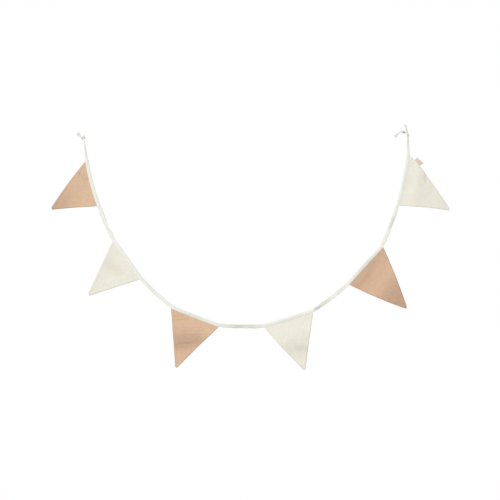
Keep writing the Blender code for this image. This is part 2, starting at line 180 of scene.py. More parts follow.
# name, length, heading below level at its start and at its end
RUNS = (
    ("left_tie", 69.0, 82.0, 82.0),
    ("flag_1", 159.5, 80.5, 69.5),
    ("gap_1", 135.5, 70.0, 63.5),
    ("flag_2", 161.0, 53.0, 55.0),
    ("gap_2", 148.0, 47.4, 38.5),
    ("flag_3", 176.5, 23.0, 19.5),
    ("gap_3", 158.0, 4.5, -3.0),
    ("flag_4", 176.5, -16.5, -18.0),
    ("gap_4", 158.5, -32.5, -42.5),
    ("flag_5", 175.0, -48.0, -47.5),
    ("gap_5", 154.5, -66.0, -72.0),
    ("flag_6", 176.5, -74.0, -82.0),
    ("right_tie", 66.0, -89.5, -92.0),
)
TAPE_START = (2.7, -16.1)

# run, distance from its start, half length, turn in degrees
TWISTS = (
    ("left_tie", 18.0, 26.0, 44.0),
    ("gap_1", 84.0, 30.0, 38.0),
    ("gap_2", 60.0, 48.0, -18.0),
    ("gap_3", 66.0, 30.0, 18.0),
    ("gap_3", 112.0, 30.0, -18.0),
    ("gap_4", 22.0, 26.0, 30.0),
    ("gap_4", 78.0, 40.0, -24.0),
    ("gap_5", 92.0, 44.0, 16.0),
    ("right_tie", 34.0, 26.0, -34.0),
)
# Where the tape is crumpled more than elsewhere: run, distance, half length, how much more
CRUMPLES = (
    ("gap_1", 84.0, 30.0, 0.7),
    ("gap_3", 70.0, 75.0, 0.1),
    ("gap_4", 26.0, 34.0, 0.3),
    ("left_tie", 30.0, 40.0, 0.5),
    ("right_tie", 34.0, 40.0, 0.8),
)
# Painted shade along the strip: run, distance, half length, how much
TAPE_PAINTED_SHADE = (
    ("left_tie", 34.0, 34.0, 0.22),
    ("flag_3", 88.0, 100.0, 0.20),
    ("gap_3", 80.0, 140.0, 0.34),
    ("gap_3", 114.0, 26.0, 0.16),
    ("flag_4", 88.0, 90.0, 0.09),
    ("gap_4", 58.0, 34.0, 0.24),
    ("gap_4", 78.0, 90.0, 0.16),
    ("flag_5", 88.0, 90.0, 0.20),
    ("gap_5", 78.0, 90.0, 0.04),
    ("flag_6", 88.0, 90.0, 0.06),
    ("right_tie", 50.0, 50.0, 0.28),
)
TAIL_TONE = 0.45           # and how much darker the strip is drawn at the end of the left tail
TAIL_REACH = 22.0
# run, distance, width, thickness
TIE_SECTIONS = (
    ("left_tie", 0.0, 4.8, 2.8),
    ("left_tie", 12.0, 6.4, 2.6),
    ("left_tie", 34.0, 7.2, 2.4),
    ("left_tie", 58.0, 8.4, 2.2),
    ("right_tie", 18.0, 8.6, 2.4),
    ("right_tie", 44.0, 8.0, 2.6),
    ("right_tie", 66.0, 5.4, 3.0),
)

# The overhand knots: twice round a ring, and half a turn round itself three times
KNOT_STRAND = 3.6
KNOT_RING = 3.75
KNOT_TWINE = 1.9
KNOT_CIRCUITS = 2
KNOT_HALF_TURNS = 3
KNOT_MOUTH = math.radians(30.0)
KNOT_STEP = math.radians(15.0)
# centre, directions across and along the ring, its axis, where its mouth is, which way it runs
LEFT_KNOT = ((0.0, 0.0, 0.0), (1, 0, 0), (0, 0, 1), (0, 1, 0), math.radians(215.0), -1)
RIGHT_KNOT = ((1119.0, 1.2, 20.4), (1, 0, 0), (0, 1, 0), (0, 0, -1), math.radians(90.0), 1)
# x, depth, z, width, thickness
LEFT_TAIL = (
    (-19.4, -0.6, 13.2, 11.2, 1.7),
    (-16.4, -1.0, 10.2, 10.6, 1.8),
    (-13.2, -1.6, 6.4, 7.6, 2.4),
    (-10.0, -2.4, 2.0, 5.2, 3.0),
    (-6.6, -2.9, -2.0, 3.6, 3.4),
)
LEFT_ENTRY = (
    (-4.7, 2.4, -3.6, 3.2, 3.2),
    (-3.2, 2.2, -7.2, 3.4, 3.2),
    (0.6, 1.0, -11.2, 4.0, 3.2),
)
RIGHT_BIGHT = (
    (1135.3, -0.2, 8.5, 4.2, 3.2),
    (1134.6, -1.2, 16.0, 3.8, 2.8),
    (1133.0, -1.8, 24.0, 3.8, 2.6),
    (1131.2, -2.0, 31.5, 3.6, 2.6),
    (1130.2, -1.8, 38.0, 3.4, 2.6),
    (1128.6, -0.8, 43.0, 3.6, 2.6),
    (1126.0, 1.1, 44.6, 3.6, 2.6),
    (1125.0, 3.0, 41.6, 3.6, 2.6),
    (1127.2, 3.3, 37.0, 3.6, 2.6),
    (1129.2, 2.6, 31.0, 3.6, 2.6),
    (1131.0, 2.4, 24.0, 3.4, 2.6),
    (1133.2, 3.1, 16.5, 3.4, 2.8),
    (1136.6, 3.5, 10.4, 3.2, 3.0),
    (1139.7, -0.2, 7.0, 3.2, 3.0),
    (1136.4, -4.3, 6.2, 3.2, 3.0),
    (1131.6, -3.6, 9.8, 3.2, 3.0),
    (1129.0, -0.6, 13.6, 3.2, 3.1),
    (1127.0, 3.6, 16.2, 3.2, 3.2),
    (1124.4, 6.8, 17.0, 3.2, 3.2),
    (1120.4, 7.4, 16.8, 3.2, 3.2),
)
RIGHT_TAIL = (
    (1117.2, 7.4, 22.8, 3.2, 3.2),
    (1112.0, 5.8, 20.8, 3.4, 3.0),
    (1105.6, 3.4, 16.8, 3.8, 2.8),
    (1099.6, 1.4, 11.8, 6.2, 2.2),
    (1095.0, 0.2, 7.2, 8.8, 1.8),
    (1091.0, -0.4, 3.0, 9.6, 1.7),
)


def smoothstep(value):
    """A soft step from 0 at 0 and below to 1 at 1 and above."""
    value = np.clip(value, 0.0, 1.0)
    return value * value * (3.0 - 2.0 * value)


run_ends = np.cumsum([length for _, length, _, _ in RUNS])
run_spans = {row[0]: (end - row[1], end) for row, end in zip(RUNS, run_ends)}
tape_length = run_ends[-1]


def heading(distance):
    """Degrees below level, with a short soft bend from each run to the next."""
    places = []
    angles = []
    for name, _, first, last in RUNS:
        start, end = run_spans[name]
        places += [start + BEND_BLEND, end - BEND_BLEND]
        angles += [first, last]
    return np.interp(distance, places, angles)


line_distance = np.arange(0.0, tape_length + LINE_STEP, LINE_STEP)
line_angle = np.radians(heading(line_distance + LINE_STEP / 2.0))
step_x = LINE_STEP * np.cos(line_angle)
step_z = -LINE_STEP * np.sin(line_angle)
line_x = np.concatenate([[0.0], np.cumsum(step_x)[:-1]]) + TAPE_START[0]
line_z = np.concatenate([[0.0], np.cumsum(step_z)[:-1]]) + TAPE_START[1]


def tape_places(distance, out):
    """Points on the tape's mid plane, moved out towards the pennants."""
    angle = np.radians(heading(distance))
    wave = np.sin(2.0 * math.pi * distance / DEPTH_WAVE)
    return np.stack([
        np.interp(distance, line_distance, line_x) - np.sin(angle) * out,
        DEPTH_WANDER * wave * smoothstep(distance / DEPTH_START),
        np.interp(distance, line_distance, line_z) - np.cos(angle) * out,
    ], axis=-1)


def tape_sizes(distance):
    """Width, thickness and the room inside the fold, at distances along the tape."""
    rows = []
    for name, _, _, _ in RUNS:
        start, end = run_spans[name]
        if name.startswith("flag"):
            rows += [(at, BOUND_WIDTH, BOUND_THICKNESS, CLOTH_INSIDE) for at in (start, end)]
        elif name.startswith("gap"):
            for at in (start + TAPE_BLEND, end - TAPE_BLEND):
                rows.append((at, TAPE_WIDTH, TAPE_THICKNESS, NOTHING_INSIDE))
        else:
            for run, along, width, depth in TIE_SECTIONS:
                if run == name:
                    rows.append((start + along, width, depth, NOTHING_INSIDE))
    places, *sizes = zip(*rows)
    return [np.interp(distance, places, size) for size in sizes]


def bumps(distance, table):
    """Each row of a table as a smooth bump of its last column, added up along the tape."""
    total = np.zeros_like(distance)
    for run, along, half_length, height in table:
        offset = np.clip((distance - run_spans[run][0] - along) / half_length, -1.0, 1.0)
        total += height * 0.5 * (1.0 + np.cos(math.pi * offset))
    return total


def knot_rows(centre, across, deep, axis, mouth, turn):
    """An overhand knot's middle line, from the mouth of its ring round to the mouth again."""
    whole = 2.0 * math.pi * KNOT_CIRCUITS - 2.0 * KNOT_MOUTH
    rows = []
    for swept in KNOT_MOUTH + np.linspace(0.0, whole, round(whole / KNOT_STEP) + 1):
        twine = swept * KNOT_HALF_TURNS / KNOT_CIRCUITS
        radius = KNOT_RING + KNOT_TWINE * math.cos(twine)
        place = Vector(centre)
        place += Vector(across) * radius * math.cos(mouth + turn * swept)
        place += Vector(deep) * radius * math.sin(mouth + turn * swept)
        place += Vector(axis) * KNOT_TWINE * math.sin(twine)
        rows.append((*place, KNOT_STRAND, KNOT_STRAND))
    return rows


def smooth_rows(rows, first, last):
    """Catmull-Rom curve through the rows at an even step, aimed along the rows before and after."""
    padded = np.vstack([first, rows, last])
    part = np.linspace(0.0, 1.0, CURVE_PARTS, endpoint=False)[:, None]
    fine = []
    for before, start, end, after in zip(padded, padded[1:], padded[2:], padded[3:]):
        fine.append(0.5 * (
            2.0 * start
            + (end - before) * part
            + (2.0 * before - 5.0 * start + 4.0 * end - after) * part ** 2
            + (3.0 * start - before - 3.0 * end + after) * part ** 3
        ))
    fine = np.vstack([*fine, padded[-2]])
    lengths = np.linalg.norm(np.diff(fine[:, :3], axis=0), axis=1)
    along = np.concatenate([[0.0], np.cumsum(lengths)])
    places = np.linspace(0.0, along[-1], round(along[-1] / TIE_STEP) + 1)
    return np.column_stack([np.interp(places, along, column) for column in fine.T])


main_distance = np.linspace(0.0, tape_length, round(tape_length / TAPE_STEP) + 1)
main_width, main_depth, main_room = tape_sizes(main_distance)
free = smoothstep((main_width - BOUND_WIDTH) / (TAPE_WIDTH - BOUND_WIDTH))
short_wave, long_wave, narrow_wave = (
    np.sin(2.0 * math.pi * main_distance / wave) for wave in EDGE_WAVES
)
wander = EDGE_WANDER * free * short_wave * long_wave
main_rows = np.column_stack([
    tape_places(main_distance, wander),
    main_width + 2.0 * wander * narrow_wave,
    main_depth,
])
left_rows = [*LEFT_TAIL, *knot_rows(*LEFT_KNOT)[::-1], *LEFT_ENTRY, main_rows[0]]
left_beyond = 2.0 * np.array(LEFT_TAIL[0]) - np.array(LEFT_TAIL[1])
left_end = smooth_rows(left_rows, left_beyond, main_rows[1])[:-1]
right_rows = [main_rows[-1], *RIGHT_BIGHT, *knot_rows(*RIGHT_KNOT), *RIGHT_TAIL]
right_beyond = 2.0 * np.array(RIGHT_TAIL[-1]) - np.array(RIGHT_TAIL[-2])
right_end = smooth_rows(right_rows, main_rows[-2], right_beyond)[1:]
tape_rows = np.vstack([left_end, main_rows, right_end])
first = len(left_end)
last = first + len(main_rows)

# The width direction lies in the tape's own plane, and is carried on through the knots
tape_line = tape_rows[:, :3]
tangents = np.gradient(tape_line, axis=0)
tangents /= np.linalg.norm(tangents, axis=1)[:, None]
sides = np.cross(tangents, (0.0, 1.0, 0.0))
sides /= np.linalg.norm(sides, axis=1)[:, None]
level_sides = sides.copy()
outwards = [(i, i + 1) for i in range(first - 1, -1, -1)]
outwards += [(i, i - 1) for i in range(last, len(sides))]
for i, near in outwards:
    carried = sides[near] - tangents[i] * sides[near].dot(tangents[i])
    sides[i] = carried / np.linalg.norm(carried)
turns = np.zeros(len(sides))
turns[first:last] = np.radians(bumps(main_distance, TWISTS))
for end, inner, count in ((0, first, first), (-1, last - 1, len(sides) - last)):
    level = level_sides[end]
    facing = math.atan2(tangents[end].dot(np.cross(sides[end], level)), sides[end].dot(level))
    share = smoothstep(np.arange(1, count + 1) / count)
    turned = turns[inner] + (facing - turns[inner]) * share
    if end == 0:
        turns[:first] = turned[::-1]
    else:
        turns[last:] = turned
fronts = np.cross(tangents, sides)
tape_sides = sides * np.cos(turns)[:, None] + fronts * np.sin(turns)[:, None]
tape_fronts = np.cross(tangents, tape_sides)


def rough(places, pitch, seed):
    """Smooth noise from -1 to 1 at places in millimetres."""
    flat = np.reshape(places, (-1, 3)) / pitch + seed * SEED_SHIFT
    return np.reshape([noise.noise(place) for place in flat], np.shape(places)[:-1])


# Round the section: out along one face of the strip and back along the other, folded at 0
layer = np.linspace(-1.0, 1.0, LAYER_POINTS)
width = tape_rows[:, 3, None]
depth = tape_rows[:, 4, None]
room = np.full(len(tape_rows), NOTHING_INSIDE)
room[first:last] = main_room
room = room[:, None]
flatness = smoothstep((width / depth - FLAT_FROM) / FLAT_OVER)
swing = math.pi * np.abs(layer)
along_tape = np.concatenate([[0.0], np.cumsum(np.linalg.norm(np.diff(tape_line, axis=0), axis=1))])
crumple = np.ones(len(tape_rows))
crumple[first:last] += bumps(main_distance, CRUMPLES)
crumple = crumple[:, None]
round_places = np.stack(np.broadcast_arrays(
    along_tape[:, None] / PUCKER_STRETCH,
    SECTION_RADIUS * np.cos(swing),
    SECTION_RADIUS * np.sin(swing) * np.sign(layer),
), axis=-1)
coarse_pitch, fine_pitch = PUCKER_PITCHES
pucker = rough(round_places, coarse_pitch, 1) + 0.5 * rough(round_places, fine_pitch, 2)
lobes = rough(round_places * LOBE_STRETCH, LOBE_PITCH, 3)
outer_side = width / 2.0 * np.cos(swing) * (1.0 + LOBE_SPREAD * lobes)
outer_through = depth / 2.0 * np.sin(swing) ** (1.0 - SQUARENESS * flatness)
stitched = np.exp(-((outer_side + width / 2.0 - STITCH_INSET) / STITCH_REACH) ** 2) * flatness
outer_through *= 1.0 - STITCH_SINK * stitched
pucker *= TIE_PUCKER + (1.0 - TIE_PUCKER) * flatness
outer_through += TAPE_PUCKER * crumple * pucker * np.sin(swing)
outer_through += TIE_LOBES * lobes * np.sin(swing) * (1.0 - flatness)
open_half = np.abs(layer) > 0.5
outer_through = np.maximum(outer_through, (room / 2.0 + TAPE_EDGE) * open_half)
inner_side = np.minimum(outer_side, width / 2.0 - TAPE_WALL) * flatness
inner_side += 0.5 * outer_side * (1.0 - flatness)
inner_through = room / 2.0 * np.sqrt(np.clip(width / 2.0 - TAPE_WALL - inner_side, 0.0, 1.0))
inner_through = np.minimum(inner_through, outer_through)
section_side = np.hstack([outer_side, inner_side[:, ::-1], outer_side[:, :1]])
section_through = np.hstack([
    outer_through * np.sign(-layer),
    inner_through[:, ::-1] * np.sign(layer),
    outer_through[:, :1],
])
edge_places = np.stack([along_tape, 0.0 * along_tape, 0.0 * along_tape], axis=-1)
edge_waver = EDGE_WAVER * rough(edge_places, EDGE_WAVER_PITCH, 4)
tape_grid = (
    tape_line[:, None]
    + tape_sides[:, None] * (section_side + edge_waver[:, None])[..., None]
    + tape_fronts[:, None] * section_through[..., None]
)
tape_across = np.concatenate([layer, 2.0 + layer, [3.0]]) * TAPE_WIDTH
tape_flat = np.stack(np.broadcast_arrays(tape_across[None] * MM, along_tape[:, None] * MM), axis=-1)
# Painted shade along the strip, and the left tail drawn darker towards its end
tape_darkening = np.interp(along_tape, along_tape[first:last], bumps(main_distance, TAPE_PAINTED_SHADE))
tape_darkening += TAIL_TONE * (1.0 - smoothstep(along_tape / TAIL_REACH))
tape_tone = np.repeat(tape_darkening[:, None], tape_grid.shape[1], axis=1)


def cloth_grid(places, flat, tone):
    """A grid laid on rows and columns of places in millimetres, with its flat cloth as UV map and
    how far its colour is deepened as an attribute."""
    rows, columns = places.shape[:2]
    bm = bmesh.new()
    bmesh.ops.create_grid(bm, x_segments=columns - 1, y_segments=rows - 1, size=0.5)
    bm.verts.index_update()
    cells = [
        (round((v.co.y + 0.5) * (rows - 1)), round((v.co.x + 0.5) * (columns - 1))) for v in bm.verts
    ]
    cloth = bm.loops.layers.uv.new("cloth")
    for face in bm.faces:
        for loop in face.loops:
            loop[cloth].uv = flat[cells[loop.vert.index]]
    deepened = bm.verts.layers.float.new("tone")
    for vert, cell in zip(bm.verts, cells):
        vert.co = places[cell] * MM
        vert[deepened] = tone[cell]
    bmesh.ops.remove_doubles(bm, verts=bm.verts, dist=WELD_DISTANCE * MM)
    return bm


def add_piece(name, bm, material):
    """A smooth shaded piece of the part's one body, from a mesh that it uses up."""
    mesh = bpy.data.meshes.new(name)
    bm.to_mesh(mesh)
    bm.free()
    mesh.shade_smooth()
    mesh.materials.append(material)
    piece = bpy.data.objects.new(name, mesh)
    bpy.context.scene.collection.objects.link(piece)
    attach(piece, "root")
    return piece


# Places of a mix node's sockets when it mixes colours
MIX_FACTOR, MIX_BELOW, MIX_ABOVE = 0, 6, 7
MIX_COLOUR = 2
# The scale at which a wave texture draws one band in each unit of length
ONE_BAND = 2.0 * math.pi / 20.0


def mix_colours(tree, factor, below, above, blend="MIX"):
    """The colour output of a mix node. The colour above is plain, and the one below plain or an
    output."""
    values = {MIX_ABOVE: above}
    links = {MIX_FACTOR: factor}
    if isinstance(below, bpy.types.NodeSocket):
        links[MIX_BELOW] = below
    else:
        values[MIX_BELOW] = below
    settings = {"data_type": "RGBA", "blend_type": blend}
    return add_node(tree, "ShaderNodeMix", settings, values, links).outputs[MIX_COLOUR]


def spread(tree, value, low, high, top=1.0):
    """The output of a node that turns low to high into 0 to top."""
    values = {"From Min": low, "From Max": high, "To Min": 0.0, "To Max": top}
    return add_node(tree, "ShaderNodeMapRange", values=values, links={"Value": value}).outputs["Result"]


def muslin(name, light, deep, warm, shade, weave, crinkle, slub):
    """Crinkled cotton muslin. Plain woven from soft uneven threads, it is matt and faintly fuzzy, with
    painted shade in the creases of its crinkle, and slubs that show as short lines along both its
    threads. The dye, or the undyed cotton, is a little warmer in places, and painted shade darkens it
    where the tone attribute says.
    Sizes are those of the thread spacing, the crinkle and a slub's length, in millimetres."""
    material = bpy.data.materials.new(name)
    material.use_nodes = True
    tree = material.node_tree
    shader = tree.nodes["Principled BSDF"]
    cloth = add_node(tree, "ShaderNodeUVMap", {"uv_map": "cloth"}).outputs["UV"]

    def mottle(pitch, stretch, detail, roughness, distortion=0.0):
        """Noise of a pitch in millimetres, drawn out where its stretch is under 1."""
        place = add_node(tree, "ShaderNodeMapping", values={"Scale": stretch}, links={"Vector": cloth})
        values = {
            "Scale": 1.0 / (pitch * MM), "Detail": detail, "Roughness": roughness,
            "Distortion": distortion,
        }
        links = {"Vector": place.outputs["Vector"]}
        return add_node(tree, "ShaderNodeTexNoise", values=values, links=links).outputs["Fac"]

    def combined(operation, parts):
        """One output from two."""
        links = dict(enumerate(parts))
        return add_node(tree, "ShaderNodeMath", {"operation": operation}, links=links).outputs["Value"]

    patches = mottle(5.0 * crinkle, (1.0, 1.0, 1.0), 3.0, 0.55)
    creases = mottle(crinkle, (1.0, 0.4, 1.0), 4.0, 0.6, 0.5)
    thin = 0.04            # a slub's width for its length
    slubbed = combined("MAXIMUM", [
        mottle(thin * slub, stretch, 1.0, 0.5) for stretch in ((thin, 1.0, 1.0), (1.0, thin, 1.0))
    ])
    thread_values = {
        "Scale": ONE_BAND / (weave * MM), "Distortion": 0.6, "Detail": 1.0, "Detail Scale": 0.3,
    }
    woven = combined("MULTIPLY", [
        add_node(
            tree, "ShaderNodeTexWave", {"bands_direction": direction}, thread_values, {"Vector": cloth}
        ).outputs["Fac"] for direction in ("X", "Y")
    ])
    # Colour: painted shade in the creases of the crinkle, warmer patches, painted shade where the tone
    # attribute says, paler slubs
    colour = mix_colours(tree, spread(tree, creases, 0.64, 0.34, 0.8), linear(light), linear(deep))
    colour = mix_colours(tree, spread(tree, patches, 0.36, 0.64, 0.7), colour, linear(warm))
    tone = add_node(tree, "ShaderNodeAttribute", {"attribute_name": "tone"}).outputs["Fac"]
    colour = mix_colours(tree, tone, colour, linear(shade), "MULTIPLY")
    colour = mix_colours(tree, spread(tree, slubbed, 0.62, 0.8, 0.3), colour, linear(light))
    relief = None
    for height, distance in ((creases, 0.7), (slubbed, 0.3), (woven, 0.14)):
        links = {"Height": height}
        if relief:
            links["Normal"] = relief
        values = {"Distance": distance * MM, "Strength": 0.5}
        relief = add_node(tree, "ShaderNodeBump", values=values, links=links).outputs["Normal"]
    tree.links.new(colour, shader.inputs["Base Color"])
    tree.links.new(relief, shader.inputs["Normal"])
    shader.inputs["Roughness"].default_value = 0.92
    shader.inputs["Specular IOR Level"].default_value = 0.25
    shader.inputs["Sheen Weight"].default_value = 0.12
    shader.inputs["Sheen Roughness"].default_value = 0.6
    return material


def close_ends(bm):
    """Fills the open ends of a swept piece and turns its faces outwards."""
    bmesh.ops.holes_fill(bm, edges=[edge for edge in bm.edges if edge.is_boundary], sides=0)
    bmesh.ops.recalc_face_normals(bm, faces=bm.faces)
    return bm


binding_muslin = muslin("binding_muslin", "#EDEFE7", "#E2E4D9", "#ECECE1", "#BDB9A6", 0.7, 6.0, 26.0)
tape_cloth = close_ends(cloth_grid(tape_grid, tape_flat, tape_tone))
tape = add_piece("binding_tape", tape_cloth, binding_muslin)
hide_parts("tape")

# Pennants
# Each is two triangles of crinkled cotton muslin, tan or cream in turn, sewn together along both
# long sides, turned and pressed, so that the seam allowance pads its edges. The raw upper edges go
# into the fold of the tape.
FLAG_STRAIGHT = 2.0        # cloth that leaves the tape straight before it starts to fold
BOUND_MARGIN = 7.6         # cloth inside the tape
SWING_POWER = 2.0          # how evenly it bends to where its tip stands
TIP_WIDTH = 7.6
TIP_ROUND = 4.0
CLOTH_HALF = 0.55          # half the thickness of the two layers, and of the padded edge
EDGE_HALF = 0.95
TIP_HALF = 1.5
HALF_INSIDE = CLOTH_INSIDE / 2.0 - 0.1
SEAM_WIDTH = 6.5
SEAM_STEP = 3.0
EDGE_ROUND = 1.1
TIP_PADDED = 14.0          # how far from the tip its turned corner thickens it
SEWING_WAVER = 0.6         # how far uneven sewing moves an edge in and out
SEWING_PITCH = 16.0
SEWING_START = 8.0
PADDING_CHANGE = 0.35      # how much the padding comes and goes along an edge
PADDING_PITCH = 9.0
EDGES_APART = 40.0         # between the two edges, and the two layers, in their noise
LAYERS_APART = 30.0
FOLD_RISE = 0.22           # share of its length over which its folds rise from the tape
PENNANT_COLUMNS = 104
PENNANT_STEP = 1.6         # spacing of the rows
EDGE_BAND = 2.4            # within this of an edge the mesh is finer
EDGE_POINTS = 5
EDGE_SPACING = 1.6         # power by which its points crowd towards the edge
# name, tip along the tape, tip out from it, tip towards the front, left bow, right bow, cloth
FLAGS = (
    ("flag_1", 48.5, 161.0, 18.0, 4.5, -1.3, "tan"),
    ("flag_2", 20.5, 182.5, 5.0, 0.0, -0.5, "cream"),
    ("flag_3", 2.0, 192.5, 9.0, -0.8, -1.6, "tan"),
    ("flag_4", 1.0, 189.5, -3.0, 1.6, -1.2, "cream"),
    ("flag_5", -14.5, 209.5, -11.0, 3.6, 2.8, "tan"),
    ("flag_6", -65.5, 180.5, -6.0, -3.2, 5.8, "cream"),
)
# The main folds, each along a straight line between two places on the flat cloth
# flag, across and down at one end, across and down at the other, half width, height
FOLDS = (
    ("flag_1", 0.30, 0.15, 0.42, 0.75, 22.0, 1.5),
    ("flag_2", 0.45, 0.05, 0.50, 0.60, 40.0, -2.2),
    ("flag_2", 0.86, 0.10, 0.72, 0.70, 18.0, 0.8),
    ("flag_3", 0.00, 0.36, 1.00, 0.18, 30.0, 9.0),
    ("flag_3", 0.00, 0.72, 1.00, 0.50, 29.0, -9.0),
    ("flag_4", 0.00, 0.35, 1.00, 0.33, 36.0, 4.0),
    ("flag_4", 0.00, 0.72, 1.00, 0.82, 33.0, -5.5),
    ("flag_5", 0.00, 0.49, 1.00, 0.46, 46.0, 8.5),
    ("flag_6", 0.00, 0.25, 1.00, 0.22, 26.0, 2.5),
    ("flag_6", 0.00, 0.66, 1.00, 0.62, 26.0, -1.5),
)
# Small creases, listed in the same way
CREASES = (
    ("flag_1", 0.10, 0.19, 0.38, 0.03, 6.0, -0.4),
    ("flag_2", 0.20, 0.34, 0.62, 0.22, 15.0, -0.35),
    ("flag_3", 0.08, 0.10, 0.27, 0.02, 2.6, -0.4),
    ("flag_3", 0.08, 0.16, 0.39, 0.05, 2.6, -0.5),
    ("flag_3", 0.30, 0.24, 0.72, 0.11, 2.6, -0.4),
    ("flag_3", 0.31, 0.30, 0.80, 0.16, 2.6, -0.4),
    ("flag_3", 0.31, 0.38, 0.83, 0.22, 2.6, -0.4),
    ("flag_3", 0.25, 0.55, 0.72, 0.46, 3.0, -0.6),
    ("flag_3", 0.28, 0.62, 0.60, 0.57, 3.0, -0.3),
    ("flag_4", 0.50, 0.56, 0.95, 0.61, 12.0, -0.5),
    ("flag_5", 0.06, 0.12, 0.37, 0.13, 9.0, -0.35),
    ("flag_5", 0.37, 0.13, 0.68, 0.06, 9.0, -0.25),
    ("flag_6", 0.84, 0.40, 1.00, 0.36, 7.0, -0.6),
)
CREASE_SHADE = 0.4         # painted shade: how much darker the cloth is drawn at a crease's bottom, for each mm of depth
# flag, height of its crinkle, how much longer a crinkle is along the tape than down the pennant
CRINKLES = {
    "flag_1": (0.18, 2.2),
    "flag_2": (0.17, 1.6),
    "flag_3": (0.20, 2.6),
    "flag_4": (0.17, 1.6),
    "flag_5": (0.18, 1.8),
    "flag_6": (0.19, 0.6),
}
# Painted shade, standing in for the shading of each pennant's folds and tip: how much darker each cloth
# is than the palest of its colour, at the tape, at four places evenly spaced down the pennant, and at
# its tip
PENNANT_PAINTED_SHADE = {
    "flag_1": (0.0, 0.0, 0.03, 0.14, 0.27, 0.34),
    "flag_2": (0.0, 0.0, 0.0, 0.01, 0.05, 0.06),
    "flag_3": (0.08, 0.14, 0.22, 0.26, 0.22, 0.08),
    "flag_4": (0.0, 0.02, 0.03, 0.03, 0.03, 0.20),
    "flag_5": (0.32, 0.27, 0.20, 0.28, 0.46, 0.55),
    "flag_6": (0.0, 0.0, 0.0, 0.01, 0.05, 0.06),
}
# Painted shade on the left and the right sewn edges: how much darker each is, how far in, and from
# where down
EDGE_PAINTED_SHADE = (0.15, 0.35)
EDGE_REACH = 2.4
EDGE_START = 12.0
# The label draws the upper edge of the sixth pennant out, along the tape
LABEL_FLAG = "flag_6"
LABEL_PULL = 4.0
PULL_MIDDLE = 0.19
PULL_REACH = 0.18
PULL_START = 0.12
# Crinkles are each layer's own, and the waves below them are shared
CRINKLE_PITCHES = (6.0, 2.7)
SHARED_WAVES = 0.6
WAVE_PITCHES = (34.0, 15.0)
LOOSE_START = 1.0          # above where the pennant leaves the tape
LOOSE_OVER = 10.0


def pennant_outline(flag, across, down):
    """Places on the flat-on form of a pennant: across from left to right, down in millimetres from
    where it starts to fold, and below 0 inside the tape."""
    name, tip_along, tip_out, tip_front, left_bow, right_bow, _ = flag
    start, end = run_spans[name]
    ends = tape_places(np.array([start, end]), 0.0)
    middle = ends.mean(axis=0)
    along = (ends[1] - ends[0]) * (1.0, 0.0, 1.0)
    along /= np.linalg.norm(along)
    out = np.array((along[2], 0.0, -along[0]))
    straight = BOUND_WIDTH / 2.0 + FLAG_STRAIGHT
    share = np.clip(down / (tip_out - straight), 0.0, 1.0)[..., None]
    base = tape_places(start + (end - start) * across, straight + np.minimum(down, 0.0))
    left_in = across[..., None] - 0.5
    to_tip = (1.0 - share) * (tip_out - straight)
    rounding = 0.5 + 0.5 * np.sqrt(1.0 - (1.0 - np.clip(to_tip / TIP_ROUND, 0.0, 1.0)) ** 2)
    tip = middle + along * tip_along + out * tip_out + along * left_in * TIP_WIDTH * rounding
    place = base * (1.0 - share) + tip * share
    bulge = 4.0 * share * (1.0 - share)
    place += along * bulge * (right_bow * across[..., None] - left_bow * (1.0 - across[..., None]))
    if name == LABEL_FLAG:
        pull = np.exp(-(((share - PULL_MIDDLE) / PULL_REACH) ** 2)) * smoothstep(share / PULL_START)
        place += along * LABEL_PULL * across[..., None] * pull
    place[..., 1] -= (tip_front * share ** SWING_POWER)[..., 0]
    return place


def hanging_length(flag):
    """How long a pennant is from where it starts to fold to its tip."""
    _, _, tip_out, *_ = flag
    return tip_out - BOUND_WIDTH / 2.0 - FLAG_STRAIGHT


def ridge_height(table, flag, across, share):
    """How far the folds in a table bring a pennant forward."""
    flag_name, _, tip_out, *_ = flag
    start, end = run_spans[flag_name]

    def flat_place(across, down):
        return np.stack([(across - 0.5) * (1.0 - down) * (end - start), down * tip_out], axis=-1)

    place = flat_place(across, share)
    height = np.zeros(across.shape)
    for name, across_0, down_0, across_1, down_1, half_width, ridge in table:
        if name == flag_name:
            line_start = flat_place(across_0, down_0)
            run = flat_place(across_1, down_1) - line_start
            along = np.clip((place - line_start) @ run / run.dot(run), 0.0, 1.0)
            away = np.linalg.norm(place - line_start - along[..., None] * run, axis=-1) / half_width
            height += ridge * np.exp(-away * away)
    return height


tan_muslin = muslin("tan_muslin", "#DEBFA2", "#D1B092", "#DDBB9B", "#C2ABAD", 0.7, 6.0, 30.0)
cream_muslin = muslin("cream_muslin", "#EAE8DC", "#E1DED1", "#EBE7D8", "#BDB7AD", 0.7, 6.0, 30.0)

